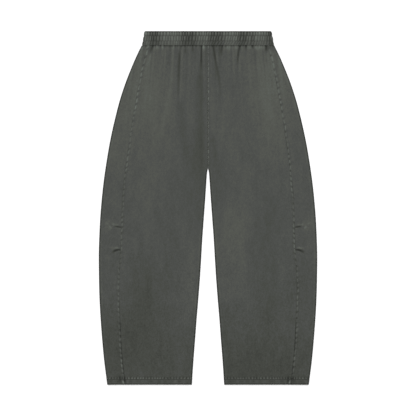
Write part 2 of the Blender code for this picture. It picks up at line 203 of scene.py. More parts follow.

# Folds of the front. height is above 0 for a ridge and below for a trough, lip is a ridge
# beside the fold whose sign says on which side, tone lightens or darkens the cloth there, partly
# as dye and wear and partly as painted shade in the troughs and painted light on the ridges, and
# the fold sinks to nothing over the part of its length past hold.
FOLD_COLUMNS = "x0 down0 x1 down1 bow width height lip tone hold"
FOLDS = table(
    FOLD_COLUMNS,
    (-80, 44, -86, 235, -1, 2.6, -1.6, 0.4, -1.1, 0.2),
    (-76, 40, -80, 56, 0, 2.2, -0.8, 0.0, -0.8, 0.4),
    (-19, 40, -19, 118, 0, 1.7, -1.9, -0.4, -2.2, 0.4),
    (-23, 66, -19, 230, 0, 5, -0.2, 0.0, -0.22, 0.4),
    (-20, 62, -19, 450, 2, 5.5, -0.4, 0.0, -0.32, 0.8),
    (-22, 90, -34, 450, 0, 11, -0.5, 0.0, -0.27, 0.6),
    (-82, 190, -56, 430, 0, 11, -0.3, 0.0, -0.26, 0.6),
    (-98, 100, -150, 370, 3, 5, 0.2, 0.0, 0.17, 0.6),
    (13, 40, 39, 200, 2, 2.6, -1.4, 0.4, -1.1, 0.15),
    (11, 38, 16, 56, 2, 2.0, -0.6, 0.0, -0.7, 0.3),
    (26, 38, 28, 78, 0, 8, -0.2, 0.0, -0.55, 0.2),
    (40.5, 40, 37, 76, 0, 2.3, -1.1, 0.3, -1.9, 0.0),
    (91, 40, 87, 180, -6, 2.5, -1.6, 0.4, -0.5, 0.1),
    (91.5, 40, 84, 104, -2, 2.4, -0.2, 0.0, -1.35, 0.1),
    (-155, 38, -170, 68, 0, 3.2, -1.2, 0.0, -1.8, 0.1),
    (-174.5, 43, -179.5, 76, 0, 3.2, 0.2, 0.0, 0.55, 0.5),
    (-64, 40, -66, 80, 0, 2.4, -0.9, 0.2, -1.3, 0.0),
    (-44.5, 40, -41, 72, 0, 2.4, -1.1, 0.2, -1.3, 0.1),
    (109, 40, 107, 60, 0, 2.6, -0.9, 0.2, -1.3, 0.1),
    (127.5, 40, 129, 56, 0, 2.6, -0.9, 0.2, -1.7, 0.1),
    (166.5, 40, 168, 66, 0, 3.2, -0.9, 0.2, -2.2, 0.1),
    (183, 38, 186, 66, 0, 5, -0.3, 0.0, -0.7, 0.2),
    (-123, 40, -122, 54, 0, 2.0, -0.5, 0.2, -0.7, 0.1),
    (-103, 40, -103, 52, 0, 2.0, -0.5, 0.2, -0.6, 0.1),
    (-144, 40, -148, 66, 0, 6, 0.4, 0.0, 0.5, 0.1),
    (-128, 40, -129, 60, 0, 4, 0.3, 0.0, 0.5, 0.1),
    (-12, 40, -11, 60, 0, 3, 0.4, 0.0, 1.4, 0.1),
    (58, 40, 60, 62, 0, 8, 0.5, 0.0, 0.8, 0.1),
    (79, 40, 79, 60, 0, 5, 0.3, 0.0, 0.5, 0.1),
    (119, 40, 120, 56, 0, 4, 0.3, 0.0, 0.6, 0.1),
    (134, 40, 135, 60, 0, 4, 0.3, 0.0, 0.9, 0.1),
    (149, 40, 150, 60, 0, 8, 0.4, 0.0, 0.8, 0.1),
    (-121, 42, -126, 180, 0, 2.2, 0.15, 0.0, 0.35, 0.2),
    (-99, 42, -103, 160, 0, 2.2, 0.1, 0.0, 0.12, 0.2),
    (-113, 60, -116, 150, 0, 4, -0.2, 0.0, -0.2, 0.1),
    (-160, 60, -180, 120, 0, 2.6, 0.15, 0.0, 0.45, 0.2),
    (10, 290, 37, 450, 2, 7, -0.5, 0.0, -0.32, 0.5),
    (-60, 500, -90, 930, 8, 24, 0.5, 0.0, 0.05, 0.5),
    (62, 470, 88, 950, -8, 24, 0.5, 0.0, 0.05, 0.5),
    (-165, 760, -160, 1010, 0, 34, -0.3, 0.0, 0.0, 0.9),
    (168, 740, 162, 1010, 0, 34, -0.3, 0.0, 0.0, 0.9)
)

# Two darts at each knee and the soft folds that fan out from them, mirrored to both legs.
# Their tone is painted shade in the creases and painted light on the folds beside them.
DARTS = table(
    FOLD_COLUMNS,
    (247, 561, 271, 556, 0, 1.7, -1.1, -0.3, -1.7, 0.5),
    (254, 554, 272, 553, -1, 2.2, 0.4, 0.0, 0.65, 0.6),
    (268, 556, 274, 547, 0, 2.4, 0.3, 0.0, 0.5, 0.5),
    (274, 565, 284, 555, 0, 2.4, 0.3, 0.0, 0.65, 0.5),
    (284, 552, 298, 543, 0, 2.6, 0.2, 0.0, 0.4, 0.3),
    (248, 625, 277, 636, 4, 2.1, -1.4, -0.4, -2.1, 0.5),
    (253, 620, 279, 625, 3, 2.4, 0.5, 0.0, 0.8, 0.3),
    (268, 552, 304, 530, 0, 5, 0.3, 0.0, 0.15, 0.1),
    (274, 560, 300, 575, 0, 5, 0.3, 0.0, 0.15, 0.1),
    (270, 620, 306, 612, 0, 5, 0.3, 0.0, 0.2, 0.1),
    (276, 642, 304, 660, 0, 6, 0.3, 0.0, 0.2, 0.1)
)

# Creases pressed into the back, shallow because it lies on the floor. Their dark tone is partly
# dye and partly painted shade.
BACK_FOLDS = table(
    FOLD_COLUMNS,
    (-112, 40, -118, 180, 2, 5, 0.5, 0.0, -0.6, 0.1),
    (-58, 40, -55, 140, -1, 5, 0.5, 0.0, -0.6, 0.1),
    (-24, 40, -28, 260, 2, 7, 0.5, 0.0, -0.5, 0.3),
    (31, 40, 26, 170, 1, 5, 0.5, 0.0, -0.6, 0.1),
    (76, 40, 82, 130, 0, 5, 0.5, 0.0, -0.6, 0.1),
    (137, 40, 145, 200, -2, 5, 0.5, 0.0, -0.6, 0.1),
    (-30, 410, -120, 470, 6, 8, 0.4, 0.0, -0.3, 0.2),
    (30, 405, 130, 480, -6, 8, 0.4, 0.0, -0.3, 0.2)
)

# Stretches of the waistband whose gathers are bunched and darkened with painted shade, or open and
# light
BUNCHES = table(
    "x half_length tone",
    (-174, 8, 0.4), (-152, 14, -0.95), (-107, 29, 0.65), (-58, 22, -0.95), (-15, 18, 0.45),
    (20, 23, -0.8), (64, 19, 0.6), (99, 14, -0.85), (126, 5, -0.5), (150, 17, 0.6),
    (177, 9, -0.75)
)

# The waistband's three channels: their middle, and the slant and shift of their gathers
CHANNELS = table("middle slant shift", (6.5, 0.03, 0.0), (21.0, 0.18, 2.9), (35.0, 0.42, 5.3))

# Broad uneven fading of the front: ellipses where the dye is washed out or has stayed
PATCHES = table(
    "x down half_width half_length tone",
    (-205, 150, 60, 140, 0.20),
    (-282, 342, 22, 48, 0.18),
    (-180, 405, 32, 50, 0.08),
    (186, 135, 42, 100, 0.38),
    (184, 290, 30, 90, 0.14),
    (262, 300, 26, 80, -0.10),
    (-80, 110, 24, 80, -0.09),
    (27, 110, 24, 75, -0.11),
    (76, 574, 30, 95, 0.20),
    (-58, 563, 26, 70, 0.08),
    (-30, 430, 52, 105, -0.27),
    (184, 600, 40, 120, -0.13),
    (-173, 763, 42, 85, -0.26),
    (-190, 900, 75, 80, -0.24),
    (-46, 780, 24, 115, 0.20),
    (40, 720, 22, 60, 0.07),
    (-128, 870, 26, 110, 0.12),
    (218, 745, 14, 75, 0.18),
    (180, 815, 26, 95, -0.20),
    (284, 715, 16, 42, -0.14),
    (93, 810, 36, 100, 0.06),
    (150, 970, 95, 62, -0.35),
    (60, 970, 50, 60, -0.10),
    (-296, 920, 30, 80, -0.18),
    (-180, 280, 35, 50, 0.10),
    (-90, 200, 26, 60, 0.08),
    (-60, 960, 45, 50, 0.08),
    (289, 552, 14, 22, 0.2),
    (-289, 552, 14, 22, 0.2)
)

# Painted shade that deepens towards the hem
HEM_SHADE = table(
    "down tone",
    (41, -0.06), (100, 0.0), (300, -0.02), (500, -0.11), (750, -0.22), (860, -0.36),
    (960, -0.46), (1010, -0.44)
)

# Lines that run along an edge or a seam, at a place that is the distance from it
LINE_COLUMNS = "place width height tone"
# From the folded outer edge and from the inseam: a rim darkened with painted shade, and a painted
# light line inside it
OUTER_RIM = table(LINE_COLUMNS, (0.7, 2.6, 0.0, -2.05), (6.2, 2.2, 0.0, 0.25))
INSEAM_RIM = table(LINE_COLUMNS, (0.8, 2.5, 0.0, -2.05), (5.9, 2.0, 0.0, 0.25))
# From the waistband's lower seam: a groove, a line of painted shade under the band, and a lighter
# line
WAIST_LINES = table(LINE_COLUMNS, (0.6, 2.2, -0.3, 0.0), (1.4, 1.9, 0.0, -0.5), (6.5, 4.0, 0.0, 0.17))
# From the centre seam: painted shade in its ditch, its topstitched edge and painted shade beside it,
# then the puckers
CENTRE_LINES = table(
    LINE_COLUMNS, (-1.0, 1.1, -0.3, -0.6), (1.5, 1.4, 0.1, -0.2), (5.0, 3.0, 0.0, -0.2)
)
CENTRE_PUCKERS = table(LINE_COLUMNS, (1.5, 1.4, 0.22, 1.35))
# From the hem's lower edge: stitch groove, upper edge, swell and turned edge, whose dark lines are
# painted shade and light lines painted light, then the puckers
HEM_LINES = table(
    LINE_COLUMNS,
    (15.2, 1.1, -0.4, -1.3), (18.4, 1.7, 0.0, -0.9), (21.2, 1.7, 0.0, -0.85), (8.0, 2.5, 0.2, 0.0),
    (6.6, 1.6, 0.0, 0.3), (9.4, 1.6, 0.0, -0.2), (12.3, 1.4, 0.0, 0.12), (3.6, 1.6, 0.0, -0.8)
)
HEM_PUCKERS = table(LINE_COLUMNS, (18.4, 1.7, 0.4, 3.0), (21.2, 1.7, 0.0, 1.3))

# Fine, wide and hanging waves below the waistband: their height and tone, and how far each reaches.
# Their tone is lighter on the crests, where worn, and darker in the troughs, partly dye and partly
# painted shade.
WAIST_WAVES = table(
    "height height_reach tone tone_reach",
    (0.28, 7.0, 0.5, 6.0), (0.35, 16.0, 0.25, 14.0), (0.16, 70.0, 0.2, 110.0)
)

# Sums of sine waves along a seam, as size, reach and start: how the puckers' pitch drifts, how
# wide and how high they are, and how the worn edge sways
SINE_COLUMNS = "size reach start"
PUCKER_DRIFT = table(SINE_COLUMNS, (4.0, 37.0, 0.0), (3.0, 21.0, 1.0), (1.6, 8.3, 0.0))
PUCKER_WIDTHS = table(SINE_COLUMNS, (0.25, 26.0, 0.0), (0.25, 11.7, 0.0))
PUCKER_HEIGHTS = table(SINE_COLUMNS, (0.2, 29.0, 2.0), (0.16, 13.1, 0.0))
EDGE_SWAY = table(SINE_COLUMNS, (0.6, 9.1, 0.0), (0.6, 23.0, 0.0))

# Lines across the waistband, lighter where a gather stands up: the two stitch rows, the groove
# and the light swell under its top, and the lower edge. The dark lines are painted shade and the
# light ones painted light.
BAND_LINES = table(
    "place width tone gather_tone",
    *[(row, 1.2, -0.85, 0.45) for row in STITCH_ROWS],
    (3.2, 1.4, -1.0, 0.5), (7.0, 3.0, 0.3, 0.0), (BAND_DEPTH, 1.6, 0.35, 0.0)
)

# Rings of one stitch, as shares of its length and thickness
STITCH_RINGS = table("place size", (-0.42, 0.75), (-0.2, 1.0), (0.2, 1.0), (0.42, 0.75))

CLOTH_AREA_STEPS = 400
RANDOM_SEED = 11
CRUMPLE_WAVES = 26
CRUMPLE_LENGTHS = (16.0, 90.0)
CRUMPLE_FRONT = 0.13
CRUMPLE_BACK = 0.12
STREAK_WAVES = 14
STREAK_LENGTHS = (8.0, 34.0)

# Noises of the washed colour. stretch is below 1 where they are drawn out along the leg.
WASH_NOISES = table(
    "scale detail weight stretch",
    (14.0, 2.0, 0.30, 0.36), (55.0, 2.0, 0.26, 0.45), (200.0, 2.0, 0.40, 0.6), (520.0, 1.0, 0.50, 0.6)
)
# The mottling is stronger near the hem: places along the garment in metres, and strengths
MOTTLE_FROM = (-0.42, -0.05)
MOTTLE_STRENGTH = (1.45, 0.9)

# The dye's cast by its shade: olive where it is deep, greyer halfway, then olive again, and
# a pale green where it is almost worn off
TINTS = table(
    "shade red green blue",
    (0.50, 1.014, 1.031, 0.956),
    (0.77, 1.016, 1.029, 0.960),
    (0.93, 0.987, 0.988, 1.012),
    (1.08, 1.026, 1.020, 0.958),
    (1.22, 1.002, 1.020, 0.972),
    (1.46, 0.988, 1.036, 0.984),
    (1.90, 0.978, 1.036, 0.992)
)
TINT_REACH = 2.0


def smooth_curve(rows):
    """Return a function of the distance down that passes smoothly through the rows.

    Between two rows the curve is a cubic whose slope at each row is that of the line
    through the rows before and after it.
    """
    downs, values = np.array(rows, float).T
    last = len(rows) - 1
    before = np.maximum(np.arange(last + 1) - 1, 0)
    after = np.minimum(np.arange(last + 1) + 1, last)
    slopes = (values[after] - values[before]) / (downs[after] - downs[before])

    def value_at(down):
        """Read the curve, which stays level outside its rows."""
        down = np.clip(down, downs[0], downs[last])
        piece = np.clip(np.searchsorted(downs, down) - 1, 0, last - 1)
        span = downs[piece + 1] - downs[piece]
        t = (down - downs[piece]) / span
        start = values[piece] * (1 + 2 * t) * (1 - t) ** 2
        start_slope = slopes[piece] * span * t * (1 - t) ** 2
        end = values[piece + 1] * t * t * (3 - 2 * t)
        end_slope = slopes[piece + 1] * span * t * t * (t - 1)
        return start + start_slope + end + end_slope

    return value_at


outline_at = smooth_curve(OUTLINE)
long_seam_at = smooth_curve(LONG_SEAM)
inseam_at = smooth_curve(INSEAM)
hem_shade_at = smooth_curve(HEM_SHADE)


def ease(t):
    """Rise smoothly from 0 to 1 as t goes from 0 to 1, by 3 t squared less 2 t cubed."""
    t = np.clip(t, 0.0, 1.0)
    return t * t * (3 - 2 * t)


def bell(distance, width):
    """A bell curve that is 1 in the middle and falls by the square of distance over width."""
    return np.exp(-(distance / width) ** 2)


def wave(place):
    """A cosine wave with one crest at each whole number."""
    return np.cos(2 * np.pi * place)


def settings():
    """The sizes and colours that the panel shows."""
    return bpy.context.scene.trousers


def inner_edge_at(down):
    """Distance of a panel's inner edge from the middle: the centre seam, then the inseam."""
    return np.where(down <= CROTCH, SEAM_GAP / 2, inseam_at(down))


def wall_at(down):
    """Thickness of the cloth, doubled up in the hem."""
    cloth = settings().cloth_thickness / MM
    return cloth + (HEM_WALL - cloth) * ease((down - HEM_TOP) / HEM_STEP)


def fold_field(folds, x, down):
    """Height and tone of a list of folds: a bell across each bowed line, fading along it."""
    height = np.zeros(np.broadcast(x, down).shape)
    tone = np.zeros_like(height)
    for fold in folds:
        run_x = fold.x1 - fold.x0
        run_down = fold.down1 - fold.down0
        length = np.hypot(run_x, run_down)
        along = ((x - fold.x0) * run_x + (down - fold.down0) * run_down) / length ** 2
        across = ((x - fold.x0) * run_down - (down - fold.down0) * run_x) / length
        across = across - fold.bow * 4 * along * (1 - along)
        starts_at_band = fold.down0 <= PANEL_TOP
        rise = 1.0 if starts_at_band else ease(along / FOLD_RISE)
        fall = 1.0 - ease((along - fold.hold) / (1.0 - fold.hold))
        share = np.where((along >= 0.0) & (along <= 1.0), rise * fall, 0.0)
        width = fold.width * (FOLD_NARROW + FOLD_WIDENS * np.clip(along, 0.0, 1.0))
        core = share * bell(across, width)
        lip = share * bell(across - np.sign(fold.lip) * LIP_PLACE * width, LIP_WIDTH * width)
        height += fold.height * core + abs(fold.lip) * lip
        # The tone is partly dye and wear, partly painted shade in the troughs and painted light on
        # the lips
        tone += fold.tone * core + LIP_TONE * abs(fold.lip) * lip
    return height, tone


def line_field(lines, distance, humps=1.0):
    """Height and tone of lines along an edge: a bell across each, times the puckers' humps."""
    height = 0.0
    tone = 0.0
    for line in lines:
        shape = humps * bell(distance - line.place, line.width)
        height = height + line.height * shape
        tone = tone + line.tone * shape
    return height, tone


def add_fields(*fields):
    """The sums of the heights and of the tones of several fields."""
    return sum(field[0] for field in fields), sum(field[1] for field in fields)


def sines(place, waves):
    """Sum of sine waves, each of its size, over its reach and from its start."""
    return sum(row.size * np.sin(place / row.reach + row.start) for row in waves)


def random_waves(count, lengths, seed):
    """Wavelength, direction and phase of each of a set of gentle waves."""
    dice = np.random.default_rng(seed)
    wavelength = np.geomspace(*lengths, count)
    direction = dice.uniform(0.0, 2 * np.pi, count)
    phase = dice.uniform(0.0, 2 * np.pi, count)
    return zip(wavelength, direction, phase)


def crumple(x, down):
    """Faint uneven waviness of washed cloth: a sum of waves in all directions, about -1 to 1."""
    total = 0.0
    for wavelength, direction, phase in random_waves(CRUMPLE_WAVES, CRUMPLE_LENGTHS, RANDOM_SEED):
        travel = x * np.cos(direction) + down * np.sin(direction)
        total = total + np.sin(2 * np.pi * travel / wavelength + phase)
    return total / np.sqrt(CRUMPLE_WAVES)


def streaks(x, down):
    """Upright waves that hang from the waistband's gathers, about -1 to 1."""
    total = 0.0
    spread = 1.0 + 0.0006 * (down - PANEL_TOP)
    for wavelength, _, phase in random_waves(STREAK_WAVES, STREAK_LENGTHS, RANDOM_SEED + 1):
        sway = 0.6 * np.sin(down / 60.0 + phase)
        total = total + np.sin(2 * np.pi * x / (spread * wavelength) + phase + sway)
    return total / np.sqrt(STREAK_WAVES)


def pucker(along, pitch, share, uneven=1.0):
    """Row of puckers along a seam: rounded humps, each over a share of a pitch that drifts.

    A hump is the part of a cosine wave above a level, eased to run from 0 to about 0.7.
    """
    crest = wave((along + uneven * sines(along, PUCKER_DRIFT)) / pitch)
    level = np.cos(np.pi * share) + uneven * sines(along, PUCKER_WIDTHS)
    return ease(0.5 + (crest - level) / 0.9) * (0.68 + uneven * sines(along, PUCKER_HEIGHTS))


def worn_side(side, down):
    """Side of the long seam on which its raised, worn edge lies: +1 outer, -1 inner."""
    low = ease((down - WORN_SIDE_LOW) / WORN_SIDE_CHANGE)
    high = 1.0 - ease((down - WORN_SIDE_HIGH) / WORN_SIDE_CHANGE)
    outer = low + (high if side > 0 else 0.0)
    return 2.0 * np.clip(outer, 0.0, 1.0) - 1.0


def long_seam_field(side, x, down, is_front):
    """Height and tone beside the long seam: a ditch with painted shade, and a raised edge that
    puckers.
    """
    across = np.abs(x) - long_seam_at(down)
    lean = worn_side(side, down) if is_front else -1.0
    pitch = PUCKER_PITCH_FRONT if is_front else PUCKER_PITCH_BACK
    near_waist = np.exp(-(down - PANEL_TOP) / NEAR_WAIST_FADE)
    near_hem = ease((down - NEAR_HEM_TOP) / NEAR_HEM_CHANGE)
    place = down + 141.0 + 171.0 * side + 35.0 * near_waist
    humps = pucker(place + 0.5 * across * lean, pitch, 0.64 + 0.05 * near_waist, 0.6)
    ditch = bell(across + 0.6 * lean, 1.1)
    edge_width = 1.6 + 0.5 * near_waist + 0.6 * near_hem
    edge_place = 1.3 + sines(place, EDGE_SWAY) + 0.5 * near_hem
    edge = bell(across - edge_place * lean, edge_width)
    gap = bell(across - 0.6 * lean, 1.7) * (1.0 - humps)
    gap_shadow = bell(across - 4.5 * lean, 3.2) * (1.0 - humps) ** 2
    lift = settings().pucker_height / MM
    height = -0.35 * ditch + edge * (0.2 + lift * humps) + 0.2 * bell(across, 9.0) * (humps - 0.4)
    deep = 0.9 + 0.1 * side + 0.6 * near_hem
    worn = 1.5 + 0.7 * near_waist + 0.25 * near_hem
    worn = worn + side * (0.15 - 0.45 * near_waist - 0.3 * near_hem)
    groove = (0.35 + 0.4 * near_hem) * ditch
    # The humps' light tone is wear; the groove, the gaps between humps and gap_shadow are painted
    # shade
    tone = worn * humps * edge - deep * (groove + 0.6 * gap) - 0.3 * gap_shadow
    return height, tone


def centre_seam_field(x, down):
    """Height and tone of the centre seam, with its topstitched edge to the right."""
    humps = pucker(down, CENTRE_PITCH, 0.5)
    height, tone = add_fields(line_field(CENTRE_LINES, x), line_field(CENTRE_PUCKERS, x, humps))
    above_crotch = 1.0 - ease((down - CROTCH + 6.0) / 6.0)
    return above_crotch * height, above_crotch * tone


def hem_field(side, x, down):
    """Height and tone of the hem: puckered upper edge, stitch groove and turned lower edge.

    The long seam ends in it as a ridge between two hollows.
    """
    from_edge = LENGTH - down
    humps = pucker(x * 1.05 + 5.0 * side, HEM_PITCH, 0.5, 0.5)
    lines = line_field(HEM_LINES, from_edge)
    height, tone = add_fields(lines, line_field(HEM_PUCKERS, from_edge, humps))
    tone = tone + 0.35 * np.sin(x / 3.7 + 2.0 * np.sin(x / 19.0)) * bell(from_edge - 9.5, 4.0)
    at_seam = np.abs(x) - long_seam_at(down) + 4.5 * side
    hollow = (bell(at_seam + 5.2, 3.6) + bell(at_seam - 6.8, 3.6)) * bell(from_edge - 15.0, 9.0)
    ridge = bell(at_seam + 0.5, 2.6) * bell(from_edge - 8.0, 5.5)
    # The hollows are darkened with painted shade, and the ridge is lightened
    return height - 0.4 * hollow + 0.5 * ridge, tone - 1.6 * hollow + 2.0 * ridge


def outline_tone(x, down):
    """Painted shade at the folded outer edge and, below the crotch, at the inseam, with a painted
    light line inside each.
    """
    outer = line_field(OUTER_RIM, outline_at(down) - np.abs(x))[1]
    inner = line_field(INSEAM_RIM, np.abs(x) - inner_edge_at(down))[1]
    return outer + ease((down - CROTCH) / 8.0) * inner


def waist_field(x, down):
    """Height and tone of the small gathers that run out of the waistband's lower seam."""
    below = down - PANEL_TOP
    fine = wave(x / 7.6 + 0.25 * np.sin(x / 13.0))
    wide = wave(x / 16.0 + 0.3 * np.sin(x / 23.0))
    height, tone = line_field(WAIST_LINES, below)
    for shape, row in zip((fine, wide, streaks(x, down)), WAIST_WAVES):
        height = height + row.height * shape * np.exp(-below / row.height_reach)
        tone = tone + row.tone * shape * np.exp(-below / row.tone_reach)
    return height, tone


def fading_and_shade(x, down):
    """Tone of the broad uneven fading: soft ellipses over painted shade that deepens to the hem."""
    total = hem_shade_at(down) + 0.0 * x
    for patch in PATCHES:
        across = (x - patch.x) / patch.half_width
        along = (down - patch.down) / patch.half_length
        total = total + patch.tone * np.exp(-0.8 * (across ** 2 + along ** 2))
    return total


def base_lift(x, down):
    """Lift of the front layer from its own spring, at rest and near the folded outer edge.

    The edge's lift fades exponentially with the distance from the outline.
    """
    from_outline = np.maximum(outline_at(down) - np.abs(x), 0.0)
    return REST_LIFT + EDGE_LIFT * np.exp(-from_outline / EDGE_LIFT_REACH)


def front_face(side, x, down):
    """Height and tone of the front layer's outer face.

    The height is both walls, the gap, the lifts at rest and near the waist, and the crumple,
    plus the relief of all the fields.
    """
    below = down - PANEL_TOP
    relief, tone = add_fields(
        fold_field(FOLDS, x, down),
        fold_field(DARTS, np.abs(x), down),
        long_seam_field(side, x, down, True),
        centre_seam_field(x, down),
        hem_field(side, x, down),
        waist_field(x, down),
    )
    height = 2 * wall_at(down) + LAYER_GAP + base_lift(x, down)
    height = height + WAIST_LIFT * np.exp(-below / WAIST_LIFT_FADE) + CRUMPLE_FRONT * crumple(x, down)
    height = height + settings().fold_depth * relief
    return height, tone + outline_tone(x, down) + fading_and_shade(x, down)


def back_face(side, x, down):
    """Height and tone of the back layer's outer face, whose relief is pressed up from z = 0.

    This face looks down, so what the fields raise lies low and what they sink lies high, and
    the sum is cut off at 0 and at the greatest relief.
    """
    below = down - PANEL_TOP
    raised, tone = add_fields(
        long_seam_field(side, x, down, False),
        centre_seam_field(x, down),
        hem_field(side, x, down),
    )
    fold_height, fold_tone = fold_field(BACK_FOLDS, x, down)
    gathers = 0.3 * np.exp(-below / 12.0) * (1.0 - wave(x / 15.0 + 0.3 * np.sin(x / 21.0)))
    relief = 0.35 - 0.55 * raised + fold_height + gathers
    from_outline = np.maximum(outline_at(down) - np.abs(x), 0.0)
    near_turn = ease((from_outline - 4.0) / 8.0)
    relief = relief + CRUMPLE_BACK * crumple(x - 300, down) - 0.3
    relief = near_turn * np.clip(relief, 0.0, BACK_RELIEF)
    sewn = bell(np.abs(x) - long_seam_at(down) + SEAM_STITCHES, 1.0)
    sewn = sewn + bell(x - CENTRE_STITCHES, 1.0) * (down < CROTCH)
    sewn = sewn + bell(LENGTH - down - HEM_STITCHES, 1.0)
    relief = relief + near_turn * np.clip(sewn, 0.0, 1.0) * np.maximum(STITCH_GROOVE - relief, 0.0)
    # The last term is painted shade on the back just under the waistband
    tone = tone + fold_tone + outline_tone(x, down) - 0.7 * bell(below, 1.8)
    return relief, tone + fading_and_shade(0.9 * x + 20.0, down)


def section_rows(fine_step, coarse_step):
    """Distances down of the panel sections, closer at the waist, crotch, knee darts and hem."""
    crotch_end = CROTCH + CROTCH_OPENING
    stretches = [
        (PANEL_TOP, PANEL_TOP + WAIST_STRETCH, fine_step),
        (PANEL_TOP + WAIST_STRETCH, CROTCH, coarse_step),
        (CROTCH, crotch_end, fine_step / 2),
        (crotch_end, KNEE_TOP, coarse_step),
        (KNEE_TOP, KNEE_LOW, min(coarse_step, KNEE_STEP)),
        (KNEE_LOW, HEM_TOP - 6.0, coarse_step),
        (HEM_TOP - 6.0, LENGTH, fine_step),
    ]
    rows = [np.arange(start, end, step) for start, end, step in stretches]
    return np.concatenate(rows + [np.array([LENGTH])])[:, None]


def near_and_far(start, end, near_start, near_end, step, middle):
    """Places across each row: steps of a fixed size near both ends and even shares between.

    start and end are columns of numbers, one for each row. near_start and near_end are the
    lengths of the fine stretches, and middle is the number of shares.
    """
    head = start + np.linspace(0.0, near_start, round(near_start / step) + 1)[None, :]
    tail = end - np.linspace(near_end, 0.0, round(near_end / step) + 1)[None, :]
    share = np.linspace(0.0, 1.0, middle)[None, 1:-1]
    between = start + near_start + (end - near_end - start - near_start) * share
    return np.concatenate([head, between, tail], axis=1)


def hem_round(down):
    """How far a face draws in at the hem's lower edge, which is turned in a small round.

    It is the radius less the root of the radius squared less the depth squared.
    """
    depth = np.clip(HEM_ROUND - (LENGTH - down), 0.0, HEM_ROUND)
    return HEM_ROUND - np.sqrt(HEM_ROUND ** 2 - depth ** 2)


def turned_edge(inner, down, face, centre, wall, steps):
    """A panel's inner edge at the inseam: a quarter round from the tip to the outer face.

    x runs from the tip by radius times 1 - cos a, and z from centre by radius times sin a.
    Above the crotch the round is opened out flat, because the panels meet edge to edge.
    """
    radius = np.abs(face - centre)
    up = np.sign(face - centre)
    angle = np.linspace(0.0, 0.5 * np.pi, steps + 1)[None, :-1]
    turn = ease((down - CROTCH) / CROTCH_OPENING)
    outer_x = inner + radius * (1 - np.cos(angle))
    outer_z = face - up * turn * radius * (1 - np.sin(angle))
    inner_radius = np.maximum(radius - wall, 0.05)
    round_x = inner + radius - inner_radius * np.cos(angle)
    inner_x = (1 - turn) * outer_x + turn * round_x
    inner_z = face - up * (wall + turn * inner_radius * (1 - np.sin(angle)))
    return outer_x, outer_z, inner_x, inner_z, inner + radius


def rows_of(x, down, z):
    """Points from places across, down and up, as one array with a last axis of three."""
    x, down, z = np.broadcast_arrays(x, down, z)
    return np.stack([x, LENGTH / 2 - down, z], axis=-1)


def joined(side, down, *stretches):
    """Rows of points through stretches of places across and up, one after another."""
    return np.concatenate([rows_of(side * x, down, z) for x, z in stretches], axis=1)


# How a panel's layer is made: its face, which way it looks, and how finely it is divided
Layer = namedtuple("Layer", "face_at up fine_step coarse_step corner_steps seam_reach step shares")
FRONT = Layer(front_face, 1, 1.3, 2.1, 6, 12.0, 0.9, 72)
BACK = Layer(back_face, -1, 2.0, 3.0, 5, 10.0, 1.25, 44)


def panel_shell(side, layer):
    """A front or back panel: its outer face from inner edge to long seam, and a plain inside.

    The front lies on the back, and the back's outer face lies on the floor. Their inner edges
    turn towards each other at the inseam.
    """
    down = section_rows(layer.fine_step, layer.coarse_step)
    wall = wall_at(down)
    inner = inner_edge_at(down)
    end = long_seam_at(down) - SEAM_GAP / 2
    top = front_face(side, side * (inner + 2.0), down)[0]
    face = top if layer.up > 0 else 0.0 * top
    centre = top / 2 + layer.up * SEAM_GAP / 2
    turn_x, turn_z, inside_x, inside_z, start = turned_edge(
        inner, down, face, centre, wall, layer.corner_steps)
    x = near_and_far(start, end, FINE_REACH, layer.seam_reach, layer.step, layer.shares)
    z, tone = layer.face_at(side, side * x, down)
    blend = bell(x - start, 3.0)
    z = z * (1 - blend) + face * blend
    draw = layer.up * hem_round(down)
    outer = joined(side, down, (turn_x, turn_z - draw), (x, z - draw))
    turn_tone = layer.face_at(side, side * np.maximum(turn_x, inner + 0.3), down)[1]
    plain_x = near_and_far(start, end, 1.0, 1.0, 1.0, 8)
    lift = LAYER_GAP + base_lift(plain_x, down) if layer.up > 0 else 0.0 * plain_x
    inside = joined(side, down, (inside_x, inside_z), (plain_x, wall + lift))
    return outer, inside, np.concatenate([turn_tone, tone], axis=1)


def side_shell(side):
    """A side panel, from the front seam round the folded outer edge to the back seam.

    The fold is a half round about a centre one radius in from the outline: x is the centre's
    plus radius times cos a, and z is radius plus radius times sin a.
    """
    down = section_rows(1.5, 2.4)
    wall = wall_at(down)
    edge = outline_at(down)
    seam = long_seam_at(down) + SEAM_GAP / 2
    radius = front_face(side, side * (edge - 3.0), down)[0] / 2
    for _ in range(3):
        radius = front_face(side, side * (edge - radius), down)[0] / 2
    centre = edge - radius
    front_x = near_and_far(seam, centre, FINE_REACH, 2.0, 0.9, 22)
    top, front_tone = front_face(side, side * front_x, down)
    back_x = near_and_far(seam, centre, FINE_REACH, 2.0, 1.3, 14)[:, ::-1]
    low, back_tone = back_face(side, side * back_x, down)
    angle = np.pi * (0.5 - np.linspace(0.0, 1.0, TURN_SECTIONS + 2)[None, 1:-1])
    turn_x = centre + radius * np.cos(angle)
    draw = hem_round(down)
    drawn_radius = radius - draw
    outer = joined(side, down, (front_x, top - draw),
                   (centre + drawn_radius * np.cos(angle), radius + drawn_radius * np.sin(angle)),
                   (back_x, low + draw))
    tone = np.concatenate([front_tone, outline_tone(side * turn_x, down), back_tone], axis=1)
    inner_radius = radius - wall
    plain_x = near_and_far(seam, centre, 1.0, 1.0, 1.0, 5)
    share = ((plain_x - seam) / (centre - seam)) ** 4
    plain_z = wall + LAYER_GAP + base_lift(plain_x, down)
    plain_z = plain_z * (1 - share) + (radius + inner_radius) * share
    inside = joined(side, down, (plain_x, plain_z),
                    (centre + inner_radius * np.cos(angle), radius + inner_radius * np.sin(angle)),
                    (plain_x[:, ::-1], wall + 0.0 * plain_x))
    return outer, inside, tone


def bunch_tone(x):
    """Tone of the waistband's bunched and open stretches: bells of the fourth power."""
    total = np.zeros_like(x)
    for bunch in BUNCHES:
        total += bunch.tone * np.exp(-((x - bunch.x) / bunch.half_length) ** 4)
    return total


